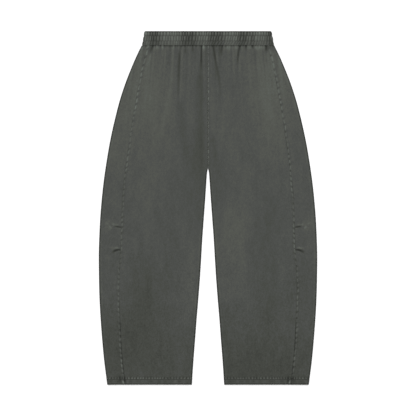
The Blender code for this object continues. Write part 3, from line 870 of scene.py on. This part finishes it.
def gathers_at(x, down):
    """The waistband's gathers, unevenly spaced: their height from 0 to 1, and their tone.

    Each is a raised cosine of its place, which slants and shifts by channel and drifts by sine
    waves, to a power that makes it narrower where the band is bunched.
    """
    channel = np.searchsorted(STITCH_ROWS, down)
    middle, slant, shift = np.array(CHANNELS).T[:, channel]
    slant = slant * (0.7 + 0.6 * np.sin(x / 50.0 + 0.6))
    place = x + slant * (down - middle) + shift
    turns = place * BAND_GATHERS / (2 * BAND_LOW_HALF_WIDTH)
    turns = turns + 0.16 * np.sin(place / 13.0) + 0.12 * np.sin(place / 7.3 + 1.0 + 2.0 * channel)
    rounded = 0.5 + 0.5 * wave(turns)
    uneven = 0.2 * np.sin(place / 11.0 + 0.8 + channel) + 0.14 * np.sin(place / 4.7 + 2.5 * channel)
    height = rounded ** (0.85 - 0.3 * bunch_tone(x)) * (0.7 + uneven)
    each = np.sin(2.4 * np.round(turns) + 1.7 * channel)
    narrow = 0.5 + 0.5 * wave(1.83 * turns + 0.2 * np.sin(place / 9.0))
    # The tone is lighter on the crests, where worn, and darker between them with painted shade
    tone = 0.95 + 0.32 * each + 0.5 * uneven - 1.75 * (1.0 - rounded) ** 1.5 - 0.4 * narrow ** 2
    return height, tone


def channel_bulge(down):
    """Bulge of the waistband's channels: 0 at the stitch rows and edges, 1 between them.

    It is half a sine wave over each channel, to a power that flattens its top.
    """
    edges = np.array([0.0, *STITCH_ROWS, BAND_DEPTH])
    channel = np.clip(np.searchsorted(edges, down) - 1, 0, len(edges) - 2)
    share = (down - edges[channel]) / (edges[channel + 1] - edges[channel])
    return np.sin(np.pi * np.clip(share, 0.0, 1.0)) ** 0.55


def band_half_width_at(down):
    """Half of the waistband's width, which widens a little downwards."""
    return BAND_TOP_HALF_WIDTH + (BAND_LOW_HALF_WIDTH - BAND_TOP_HALF_WIDTH) * down / BAND_DEPTH


def band_edge_round(down):
    """How far the waistband's face draws in at its top and lower edge, each a quarter round."""
    total = 0.0
    for radius, inside in ((BAND_ROUND_TOP, down), (BAND_ROUND_LOW, BAND_DEPTH - down)):
        depth = np.clip(radius - inside, 0.0, radius)
        total = total + radius - np.sqrt(radius ** 2 - depth ** 2)
    return total


def band_tone(x, down, rise, bulge, gather_tone):
    """Tone of the waistband: gathers on each channel, bunched stretches, stitch rows and edges, with
    painted shade and painted light.
    """
    open_tone = bunch_tone(np.where(rise > -0.5, x, -x + 20.0))
    low_channel = ease((down - STITCH_ROWS[1]) / 3.0)
    swing = (1.0 - 0.45 * low_channel) * (1.0 - 0.25 * open_tone)
    tone = bulge * gather_tone * swing + (0.8 - 0.2 * low_channel) * open_tone
    tone = np.where(tone > 0.0, BRIGHTEST * np.tanh(tone / BRIGHTEST), tone)
    for line in BAND_LINES:
        shade = line.tone + line.gather_tone * gather_tone
        tone = tone + shade * bell(down - line.place, line.width)
    # Painted shade along the top edge, strongest where the gathers are bunched
    tight_edge = 0.3 + 0.9 * np.clip(-open_tone, 0.0, 1.0)
    tone = tone - bell(down - 0.8, 1.5) * tight_edge * (1.0 - 0.7 * gather_tone)
    # Painted shade where the band turns round at its ends, and over the lower channel
    fold_shade = bell(band_half_width_at(down) - np.abs(x) - 1.5, 2.0)
    return tone - 0.16 * low_channel - 0.7 * fold_shade


def band_shell():
    """The waistband as sections round its flattened loop: front, right fold, back, left fold.

    A section's points stand off the flattened inner loop by the wall, plus the bulge of each
    channel and its gathers.
    """
    down = np.concatenate([np.arange(0.0, 2.4, 0.3), np.arange(2.4, BAND_DEPTH - 2.0, 0.85),
                           np.linspace(BAND_DEPTH - 2.0, BAND_DEPTH, 6)])[None, :]
    share = np.linspace(-1.0, 1.0, BAND_SECTIONS)
    turn = np.linspace(0.0, 1.0, BAND_FOLD_SECTIONS + 2)[1:-1]
    quarter = np.full_like(share, 0.5 * np.pi)
    shares = np.concatenate([share, np.ones_like(turn), share[::-1], -np.ones_like(turn)])[:, None]
    angle = np.concatenate([quarter, np.pi * (0.5 - turn), -quarter, np.pi * (turn - 0.5)])[:, None]
    radius = BAND_WALL + BAND_HOLLOW / 2
    inner_radius = BAND_HOLLOW / 2
    end = np.sign(shares) * np.cos(angle)
    rise = np.sin(angle)
    x = shares * (band_half_width_at(down) - radius)
    bulge = channel_bulge(down)
    gathers, gather_tone = gathers_at(x, down + 0.0 * x)
    lift = settings().gather_height / MM
    tight = 1.0 + 0.35 * np.clip(-bunch_tone(x), 0.0, 1.0)
    front = bulge * (0.45 + lift * tight * gathers) - 0.25
    back = -0.9 * (1.0 - bulge * (0.35 + 0.65 * gathers))
    facing = ease((rise + 1.0) / 2)
    scallop = np.abs(np.cos(angle)) * (1.1 * bulge - 0.6)
    stand = BAND_WALL - band_edge_round(down) + facing * front + (1 - facing) * back + scallop
    notch = 0.5 * bell(down, 1.5) * (1.0 - gathers)
    outer = rows_of(x + end * (inner_radius + stand), down + notch,
                    np.maximum(radius + rise * (inner_radius + stand), 0.0))
    inside_down = np.linspace(0.0, BAND_DEPTH, 4)[None, :]
    inside_x = shares * (band_half_width_at(inside_down) - radius)
    inside = rows_of(inside_x + end * inner_radius, inside_down, radius + rise * inner_radius)
    return outer, inside, band_tone(x, down, rise, bulge, gather_tone)


def ring_quads(rings, points, is_loop):
    """Faces that join each ring of points to the next, all round."""
    first = np.arange(rings if is_loop else rings - 1)[:, None] * points
    second = (first + points) % (rings * points)
    here = np.arange(points)[None, :]
    after = (here + 1) % points
    quads = np.stack([first + here, first + after, second + after, second + here], axis=-1)
    return quads.reshape(-1, 4)


def make_shell(name, outer, inside, tone, is_loop):
    """Make a closed mesh from an outer and an inner face, each an array of rows of points.

    Every section's outer points and reversed inner points form one ring, and the rings are
    joined in turn. The ends are filled, unless the sections go round in a loop.
    """
    rings = np.concatenate([outer, inside[:, ::-1]], axis=1)
    count, size = rings.shape[:2]
    faces = ring_quads(count, size, is_loop).tolist()
    if not is_loop:
        faces.append(list(range(size)))
        faces.append([(count - 1) * size + index for index in reversed(range(size))])
    mesh = bpy.data.meshes.new(name)
    mesh.from_pydata((rings.reshape(-1, 3) * MM).tolist(), [], faces)
    shape_tone = np.concatenate([tone, np.full(inside.shape[:2], INSIDE_TONE)], axis=1)
    shape_tone = np.clip(shape_tone, -DEEPEST_TONE, DEEPEST_TONE)
    marks = mesh.attributes.new("tone", "FLOAT", "POINT")
    marks.data.foreach_set("value", shape_tone.ravel().astype(np.float32))
    add_cloth_map(mesh, rings, is_loop)
    orient(mesh)
    mesh.shade_smooth()
    mesh.set_sharp_from_angle(angle=np.radians(60.0))
    return place_piece(name, mesh)


def add_cloth_map(mesh, rings, is_loop):
    """Give the mesh a map of the flat cloth in metres: running length across, and down the piece.

    A loop's sections follow one another across the garment, and its last faces close it.
    """
    around = 0 if is_loop else 1
    steps = np.linalg.norm(np.diff(rings, axis=around), axis=-1)
    run = np.insert(np.cumsum(steps, axis=around), 0, 0.0, axis=around)
    flat = np.stack([run, LENGTH / 2 - rings[..., 1]], axis=-1).reshape(-1, 2) * MM
    corner_points = np.empty(len(mesh.loops), np.int32)
    mesh.loops.foreach_get("vertex_index", corner_points)
    places = flat[corner_points]
    if is_loop:
        size = rings.shape[1]
        closing = np.arange(len(corner_points)) >= (len(rings) - 1) * size * 4
        places[closing & (corner_points < size), 0] += flat[:, 0].max()
    layer = mesh.uv_layers.new(name="cloth")
    layer.data.foreach_set("uv", places.ravel().astype(np.float32))


def orient(mesh):
    """Turn all faces outwards if the mesh encloses a negative volume."""
    mesh.validate()
    mesh.calc_loop_triangles()
    corners = np.empty(len(mesh.loop_triangles) * 3, np.int32)
    mesh.loop_triangles.foreach_get("vertices", corners)
    points = np.empty(len(mesh.vertices) * 3)
    mesh.vertices.foreach_get("co", points)
    a, b, c = points.reshape(-1, 3)[corners].reshape(-1, 3, 3).transpose(1, 0, 2)
    if np.einsum("ij,ij->i", a, np.cross(b, c)).sum() < 0.0:
        mesh.flip_normals()


def place_piece(name, data):
    """Link a mesh, light or camera into the scene as an object at the origin."""
    piece = bpy.data.objects.new(name, data)
    bpy.context.scene.collection.objects.link(piece)
    return piece


def cut_size(inner_at, outer_at):
    """Greatest width in metres and area in square metres between two curves, down to the hem."""
    down = np.linspace(PANEL_TOP, LENGTH, CLOTH_AREA_STEPS)
    width = outer_at(down) - inner_at(down)
    return float(np.max(width)) * MM, float(np.trapz(width, down)) * MM * MM


def finish_cloth(piece, node, slot):
    """Dress a cloth piece, attach it to the root and hide the part that it replaces."""
    piece.data.materials.append(cloth_material(slot + "_cloth"))
    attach(piece, "root")
    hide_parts(node)


def sew_panels(part, shell_of, inner_at, outer_at):
    """Make the left and right panel of one kind, with one or two faces between two curves."""
    width, area = cut_size(inner_at, outer_at)
    for side, side_name in SIDES:
        outer, inside, tone = shell_of(side)
        piece = make_shell(part + "_cloth_" + side_name, outer, inside, tone, False)
        finish_cloth(piece, part + "_" + side_name, "washed_cotton")


def fill(tree, node, inputs):
    """Give each named input of a node a value, or link it to another node's output."""
    for name, value in inputs.items():
        if isinstance(value, bpy.types.NodeSocket):
            tree.links.new(value, node.inputs[name])
        else:
            node.inputs[name].default_value = value


def add_node(tree, kind, inputs, **choices):
    """Add a node, set its choices and fill its inputs."""
    node = tree.nodes.new(kind)
    for choice, value in choices.items():
        setattr(node, choice, value)
    fill(tree, node, inputs)
    return node


def calculate(tree, operation, *values):
    """The result of a math node on values or on other nodes' outputs."""
    node = add_node(tree, "ShaderNodeMath", dict(enumerate(values)), operation=operation)
    return node.outputs["Value"]


def new_group(name, inputs, output, output_kind):
    """Make a shader node group and its two end nodes.

    inputs has each socket's name and value: a number, or a colour of four numbers.
    """
    group = bpy.data.node_groups.new(name, "ShaderNodeTree")
    for input_name, value in inputs.items():
        kind = COLOUR if isinstance(value, tuple) else NUMBER
        made = group.interface.new_socket(name=input_name, in_out="INPUT", socket_type=kind)
        made.default_value = value
    group.interface.new_socket(name=output, in_out="OUTPUT", socket_type=output_kind)
    return group, group.nodes.new("NodeGroupInput"), group.nodes.new("NodeGroupOutput")


def weave_group():
    """Twill weave from the cloth map: slanting ribs crossed by fine threads, as a height."""
    group, entry, leave = new_group("twill_weave", {"Ribs per metre": 900.0}, "Height", NUMBER)
    scale = entry.outputs["Ribs per metre"]
    cloth = add_node(group, "ShaderNodeUVMap", {}, uv_map="cloth").outputs["UV"]
    turned = add_node(group, "ShaderNodeVectorRotate", {"Vector": cloth, "Angle": np.radians(63.0)},
                      rotation_type="Z_AXIS")
    ribs = add_node(group, "ShaderNodeTexWave", {
        "Vector": turned.outputs["Vector"], "Scale": scale, "Distortion": 1.2, "Detail": 2.0})
    threads = add_node(group, "ShaderNodeTexNoise", {"Vector": cloth, "Scale": scale})
    height = calculate(group, "MULTIPLY_ADD", ribs.outputs["Fac"], 0.6, threads.outputs["Fac"])
    fill(group, leave, {"Height": height})
    return group


def wash_group():
    """Uneven fading of garment-washed cloth: a shade that is 1 on average."""
    group, entry, leave = new_group("wash_mottle", {"Strength": 1.0}, "Shade", NUMBER)
    place = add_node(group, "ShaderNodeTexCoord", {}).outputs["Object"]
    parts = []
    for row in WASH_NOISES:
        drawn = add_node(group, "ShaderNodeMapping", {
            "Vector": place, "Scale": (1.0, row.stretch, 1.0)})
        noise = add_node(group, "ShaderNodeTexNoise", {
            "Vector": drawn.outputs["Vector"], "Scale": row.scale, "Detail": row.detail})
        centred = calculate(group, "SUBTRACT", noise.outputs["Fac"], 0.5)
        parts.append(calculate(group, "MULTIPLY", centred, row.weight))
    total = parts[0]
    for part in parts[1:]:
        total = calculate(group, "ADD", total, part)
    axes = add_node(group, "ShaderNodeSeparateXYZ", {"Vector": place})
    local = add_node(group, "ShaderNodeMapRange", {
        "Value": axes.outputs["Y"], "From Min": MOTTLE_FROM[0], "From Max": MOTTLE_FROM[1],
        "To Min": MOTTLE_STRENGTH[0], "To Max": MOTTLE_STRENGTH[1]})
    strength = calculate(group, "MULTIPLY", local.outputs["Result"], entry.outputs["Strength"])
    fill(group, leave, {"Shade": calculate(group, "MULTIPLY_ADD", total, strength, 1.0)})
    return group


def tone_group():
    """Fading on raised cloth, and dye and painted shade in the creases, seams and edges, from the
    tone on the mesh.

    The shade is 2 to the power of the tone. It scales the dye, and picks the tint that the
    dye is multiplied by.
    """
    inputs = {"Dye": WHITE, "Shade": 1.0, "Fading and shade": 1.0}
    group, entry, leave = new_group("wear_and_shade_tone", inputs, "Colour", COLOUR)
    marks = add_node(group, "ShaderNodeAttribute", {}, attribute_name="tone")
    raised = calculate(group, "MULTIPLY", marks.outputs["Fac"], entry.outputs["Fading and shade"])
    power = calculate(group, "POWER", 2.0, raised)
    shade = calculate(group, "MULTIPLY", power, entry.outputs["Shade"])
    place = calculate(group, "DIVIDE", shade, TINT_REACH)
    tint = add_node(group, "ShaderNodeValToRGB", {"Fac": place})
    stops = tint.color_ramp.elements
    while len(stops) < len(TINTS):
        stops.new(1.0)
    for stop, row in zip(stops, TINTS):
        stop.position = row.shade / TINT_REACH
        stop.color = (row.red / TINT_REACH, row.green / TINT_REACH, row.blue / TINT_REACH, 1.0)
    dyed = add_node(group, "ShaderNodeVectorMath", {
        0: tint.outputs["Color"], 1: entry.outputs["Dye"]}, operation="MULTIPLY")
    scaled = add_node(group, "ShaderNodeVectorMath", {
        0: dyed.outputs["Vector"], "Scale": calculate(group, "MULTIPLY", shade, TINT_REACH)},
        operation="SCALE")
    fill(group, leave, {"Colour": scaled.outputs["Vector"]})
    return group


def add_group(tree, name, make, inputs):
    """Add a shared group by name, which is made the first time that it is asked for."""
    group = bpy.data.node_groups.get(name) or make()
    return add_node(tree, "ShaderNodeGroup", inputs, node_tree=group)


def new_material(name, inputs):
    """Make a material, and give its node tree and its shader with plain inputs filled."""
    material = bpy.data.materials.new(name)
    material.use_nodes = True
    tree = material.node_tree
    shader = tree.nodes["Principled BSDF"]
    fill(tree, shader, inputs)
    return material, tree, shader


def cloth_material(name):
    """Matt washed cotton: mottled and faded colour with painted shade, twill weave and a soft fuzzy
    sheen.
    """
    if name in bpy.data.materials:
        return bpy.data.materials[name]
    material, tree, shader = new_material(name, {
        "Roughness": 0.95, "Specular IOR Level": 0.12, "Sheen Weight": 0.08, "Sheen Roughness": 0.6})
    mottle = add_group(tree, "wash_mottle", wash_group, {"Strength": 1.0})
    worn = add_group(tree, "wear_and_shade_tone", tone_group, {
        "Dye": (*settings().cloth_colour, 1.0), "Fading and shade": settings().fading_and_shade,
        "Shade": mottle.outputs["Shade"]})
    weave = add_group(tree, "twill_weave", weave_group, {})
    bump = add_node(tree, "ShaderNodeBump", {
        "Strength": 0.35, "Distance": settings().weave_depth, "Height": weave.outputs["Height"]})
    fill(tree, shader, {"Base Color": worn.outputs["Colour"], "Normal": bump.outputs["Normal"]})
    return material


def thread_material():
    """Cotton-wrapped sewing thread, with its twist as a fine bump."""
    if "sewing_thread" in bpy.data.materials:
        return bpy.data.materials["sewing_thread"]
    material, tree, shader = new_material("sewing_thread", {
        "Roughness": 0.85, "Specular IOR Level": 0.2})
    place = add_node(tree, "ShaderNodeTexCoord", {}).outputs["Object"]
    twist = add_node(tree, "ShaderNodeTexWave", {"Vector": place, "Scale": 1500.0},
                     bands_direction="DIAGONAL").outputs["Fac"]
    ramp = add_node(tree, "ShaderNodeValToRGB", {"Fac": twist})
    colour = settings().thread_colour
    ramp.color_ramp.elements[0].color = (*[0.75 * part for part in colour], 1.0)
    ramp.color_ramp.elements[1].color = (*colour, 1.0)
    bump = add_node(tree, "ShaderNodeBump", {"Strength": 0.4, "Distance": 0.0001, "Height": twist})
    fill(tree, shader, {"Base Color": ramp.outputs["Color"], "Normal": bump.outputs["Normal"]})
    return material


def stitch_run(x, down, z):
    """Middles and directions of the stitches along a path, one stitch length apart.

    The path is given by many points, and the stitches are spaced by its running length.
    """
    points = rows_of(x, down, z)
    steps = np.linalg.norm(np.diff(points, axis=0), axis=-1)
    run = np.concatenate([[0.0], np.cumsum(steps)])
    pitch = settings().stitch_pitch / MM
    places = np.arange(0.5 * pitch, run[-1], pitch)

    def point_at(place):
        """Points of the path at these running lengths."""
        return np.stack([np.interp(place, run, axis) for axis in points.T], axis=-1)

    along = point_at(places + AIM_STEP) - point_at(places - AIM_STEP)
    return point_at(places), along / np.linalg.norm(along, axis=1, keepdims=True)


def stitch_mesh(name, runs):
    """One mesh of all the stitches: each is a closed spindle of rings and two tips.

    A ring's points stand off the stitch's line by its radius times cos a sideways and sin a up.
    """
    middle = np.concatenate([run[0] for run in runs])
    along = np.concatenate([run[1] for run in runs])
    sideways = np.cross(along, np.array([0.0, 0.0, 1.0]))
    sideways /= np.linalg.norm(sideways, axis=1, keepdims=True)
    lift = np.cross(sideways, along)
    length = settings().stitch_pitch / MM * STITCH_SHARE
    radius = settings().thread_width / MM / 2
    place, size = np.array(STITCH_RINGS).T[:, :, None]
    angle = np.arange(STITCH_SIDES)[None, :] * 2 * np.pi / STITCH_SIDES
    shape = np.stack([place * length + 0.0 * angle, size * radius * np.cos(angle),
                      size * radius * np.sin(angle)], axis=-1).reshape(-1, 3)
    tips = np.array([[-0.5 * length, 0.0, 0.0], [0.5 * length, 0.0, 0.0]])
    shape = np.concatenate([shape, tips])
    frames = np.stack([along, sideways, lift], axis=1)
    points = middle[:, None, :] + np.einsum("pk,skc->spc", shape, frames)
    quads = ring_quads(len(STITCH_RINGS), STITCH_SIDES, False)
    here = np.arange(STITCH_SIDES)
    after = (here + 1) % STITCH_SIDES
    last = (len(STITCH_RINGS) - 1) * STITCH_SIDES
    low_tip = np.full(STITCH_SIDES, last + STITCH_SIDES)
    fans = np.concatenate([np.stack([after, here, low_tip], axis=-1),
                           np.stack([last + here, last + after, low_tip + 1], axis=-1)])
    offsets = np.arange(len(middle))[:, None, None] * len(shape)
    faces = (quads[None] + offsets).reshape(-1, 4).tolist()
    faces += (fans[None] + offsets).reshape(-1, 3).tolist()
    mesh = bpy.data.meshes.new(name)
    mesh.from_pydata((points.reshape(-1, 3) * MM).tolist(), [], faces)
    orient(mesh)
    mesh.shade_smooth()
    piece = place_piece(name, mesh)
    piece.data.materials.append(thread_material())
    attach(piece, "root")


def face_path(face_at, side, x, down, sink):
    """A stitch path that lies on a face, sunk into it a little and clear of the floor."""
    lowest = 0.6 * settings().thread_width / MM
    return stitch_run(x, down, np.maximum(face_at(side, x, down)[0] + sink, lowest))


def waistband_stitches():
    """Stitch rows between the waistband's channels, on its front and back."""
    runs = []
    for row in STITCH_ROWS:
        half = band_half_width_at(row) - BAND_WALL - 1.0
        x = np.linspace(-half, half, 900)
        for z in (2 * BAND_WALL + BAND_HOLLOW - 0.2, 0.75):
            runs.append(stitch_run(x, row, z))
    return runs


def seam_stitches():
    """Topstitching beside the centre seams and the long seams, on front and back."""
    runs = []
    down = np.linspace(PANEL_TOP + 2.0, CROTCH - 4.0, 1200)
    for face_at, sink in ((front_face, -0.24), (back_face, -0.1)):
        runs.append(face_path(face_at, 1, CENTRE_STITCHES + 0.0 * down, down, sink))
    down = np.linspace(PANEL_TOP + 2.0, LENGTH - 3.0, 3000)
    for side, _ in SIDES:
        front_x = side * (long_seam_at(down) + SEAM_STITCHES * worn_side(side, down))
        runs.append(face_path(front_face, side, front_x, down, 0.0))
        back_x = side * (long_seam_at(down) - SEAM_STITCHES)
        runs.append(face_path(back_face, side, back_x, down, -0.1))
    return runs


def hem_stitches():
    """One row round each hem, on its front and back."""
    runs = []
    row = np.array([LENGTH - HEM_STITCHES])
    for side, _ in SIDES:
        x = side * np.linspace(inner_edge_at(row)[0] + 3.0, outline_at(row)[0] - 5.0, 900)
        for face_at, sink in ((front_face, 0.05), (back_face, -0.1)):
            runs.append(face_path(face_at, side, x, np.full_like(x, row[0]), sink))
    return runs


def make_floor():
    """A plain pale floor just under the garment."""
    size = FLOOR_HALF_SIZE
    corners = [(x * size, y * size, -FLOOR_DROP) for x, y in ((-1, -1), (1, -1), (1, 1), (-1, 1))]
    mesh = bpy.data.meshes.new("floor")
    mesh.from_pydata(corners, [], [(0, 1, 2, 3)])
    floor = place_piece("floor", mesh)
    material, _, _ = new_material("pale_floor", {
        "Base Color": (0.92, 0.92, 0.92, 1.0), "Roughness": 0.9, "Specular IOR Level": 0.0,
        "Emission Color": WHITE, "Emission Strength": 0.3})
    floor.data.materials.append(material)


def make_lights():
    """A broad soft light from above the waist, and an even fill from all round."""
    sun = bpy.data.lights.new("key_light", "SUN")
    sun.energy = settings().key_light
    sun.angle = np.radians(KEY_SPREAD)
    key = place_piece("key_light", sun)
    key.rotation_euler = np.radians(KEY_TURN)
    world = bpy.data.worlds.new("studio")
    world.use_nodes = True
    sky = world.node_tree.nodes["Background"]
    fill(world.node_tree, sky, {"Color": WHITE, "Strength": settings().fill_light})
    bpy.context.scene.world = world
    bpy.context.scene.view_settings.view_transform = "Standard"


def make_camera():
    """A camera straight above, whose frame is as wide as the picture's pixels say."""
    data = bpy.data.cameras.new("camera")
    data.lens = LENS
    data.sensor_width = SENSOR
    frame_width = PICTURE_PIXELS * METRES_PER_PIXEL
    camera = place_piece("camera", data)
    camera.location = (0.0, PIXELS_ABOVE_MIDDLE * METRES_PER_PIXEL, frame_width * LENS / SENSOR)
    bpy.context.scene.camera = camera


class TrousersSettings(bpy.types.PropertyGroup):
    """Sizes and colours of the trousers"""

    cloth_thickness: FloatProperty(
        name="Cloth thickness", description="Wall of a panel away from the hem",
        default=0.0014, min=0.0006, max=0.003, unit="LENGTH", subtype="DISTANCE")
    gather_height: FloatProperty(
        name="Gather height", description="How far the waistband's gathers stand up",
        default=0.0012, min=0.0, max=0.003, unit="LENGTH", subtype="DISTANCE")
    pucker_height: FloatProperty(
        name="Pucker height", description="How far the long seams' puckers stand up",
        default=0.0006, min=0.0, max=0.002, unit="LENGTH", subtype="DISTANCE")
    fold_depth: FloatProperty(
        name="Fold depth", description="Share of the folds' full height and depth",
        default=1.0, min=0.0, max=1.3, subtype="FACTOR")
    stitch_pitch: FloatProperty(
        name="Stitch pitch", description="Distance from one stitch to the next",
        default=0.0034, min=0.002, max=0.006, unit="LENGTH", subtype="DISTANCE")
    thread_width: FloatProperty(
        name="Thread width", description="Thickness of the sewing thread",
        default=0.0006, min=0.0002, max=0.0012, unit="LENGTH", subtype="DISTANCE")
    weave_depth: FloatProperty(
        name="Weave depth", description="Depth of the twill weave",
        default=0.00025, min=0.0, max=0.001, unit="LENGTH", subtype="DISTANCE")
    cloth_colour: FloatVectorProperty(
        name="Cloth colour", description="Colour of the washed cotton",
        default=(0.0800, 0.0846, 0.0776), min=0.0, max=1.0, subtype="COLOR")
    thread_colour: FloatVectorProperty(
        name="Thread colour", description="Colour of the sewing thread",
        default=(0.105, 0.110, 0.100), min=0.0, max=1.0, subtype="COLOR")
    fading_and_shade: FloatProperty(
        name="Fading and shade", description="How strongly raised cloth is faded and creases are dark",
        default=0.75, min=0.0, max=2.0, subtype="FACTOR")
    key_light: FloatProperty(
        name="Key light", description="Strength of the soft light from above the waist",
        default=2.0, min=0.0, max=10.0)
    fill_light: FloatProperty(
        name="Fill light", description="Strength of the even light all round",
        default=0.42, min=0.0, max=3.0)


class TROUSERS_OT_waistband(bpy.types.Operator):
    """Make the gathered waistband"""

    bl_idname = "trousers.waistband"
    bl_label = "Waistband"

    def execute(self, context):
        outer, inside, tone = band_shell()
        piece = make_shell("waistband_cloth", outer, inside, tone, True)
        finish_cloth(piece, "waistband", "gathered_cotton")
        return {"FINISHED"}


class TROUSERS_OT_fronts(bpy.types.Operator):
    """Make the two front panels, which lie on the backs"""

    bl_idname = "trousers.fronts"
    bl_label = "Front panels"

    def execute(self, context):
        sew_panels("front", lambda side: panel_shell(side, FRONT), inner_edge_at, long_seam_at)
        return {"FINISHED"}


class TROUSERS_OT_sides(bpy.types.Operator):
    """Make the two side panels, with the knee darts, folded round the outer edge"""

    bl_idname = "trousers.sides"
    bl_label = "Side panels"

    def execute(self, context):
        sew_panels("side", side_shell, long_seam_at, outline_at)
        return {"FINISHED"}


class TROUSERS_OT_backs(bpy.types.Operator):
    """Make the two back panels, which lie on the floor"""

    bl_idname = "trousers.backs"
    bl_label = "Back panels"

    def execute(self, context):
        sew_panels("back", lambda side: panel_shell(side, BACK), inner_edge_at, long_seam_at)
        return {"FINISHED"}


class TROUSERS_OT_stitches(bpy.types.Operator):
    """Sew the topstitching on the waistband, the seams and the hems"""

    bl_idname = "trousers.stitches"
    bl_label = "Stitches"

    def execute(self, context):
        stitch_mesh("waistband_stitches", waistband_stitches())
        stitch_mesh("seam_stitches", seam_stitches())
        stitch_mesh("hem_stitches", hem_stitches())
        return {"FINISHED"}


class TROUSERS_OT_stage(bpy.types.Operator):
    """Set the floor, the lights and the camera"""

    bl_idname = "trousers.stage"
    bl_label = "Stage"

    def execute(self, context):
        make_floor()
        make_lights()
        make_camera()
        return {"FINISHED"}


OPERATORS = (
    TROUSERS_OT_waistband,
    TROUSERS_OT_fronts,
    TROUSERS_OT_sides,
    TROUSERS_OT_backs,
    TROUSERS_OT_stitches,
    TROUSERS_OT_stage,
)


class TROUSERS_PT_panel(bpy.types.Panel):
    """Sizes, colours and pieces of the trousers"""

    bl_idname = "TROUSERS_PT_panel"
    bl_label = "Barrel Leg Trousers"
    bl_space_type = "VIEW_3D"
    bl_region_type = "UI"
    bl_category = "Trousers"

    def draw(self, context):
        for name in TrousersSettings.__annotations__:
            self.layout.prop(context.scene.trousers, name)
        for operator in OPERATORS:
            self.layout.operator(operator.bl_idname)


CLASSES = (TrousersSettings, *OPERATORS, TROUSERS_PT_panel)


def register():
    """Add the settings, operators and panel."""
    for item in CLASSES:
        bpy.utils.register_class(item)
    bpy.types.Scene.trousers = PointerProperty(type=TrousersSettings)


def unregister():
    """Remove what register added."""
    del bpy.types.Scene.trousers
    for item in reversed(CLASSES):
        bpy.utils.unregister_class(item)


def main():
    """Make the trousers and the stage."""
    register()
    bpy.ops.trousers.waistband()
    bpy.ops.trousers.fronts()
    bpy.ops.trousers.sides()
    bpy.ops.trousers.backs()
    bpy.ops.trousers.stitches()
    bpy.ops.trousers.stage()


if __name__ == "__main__":
    main()
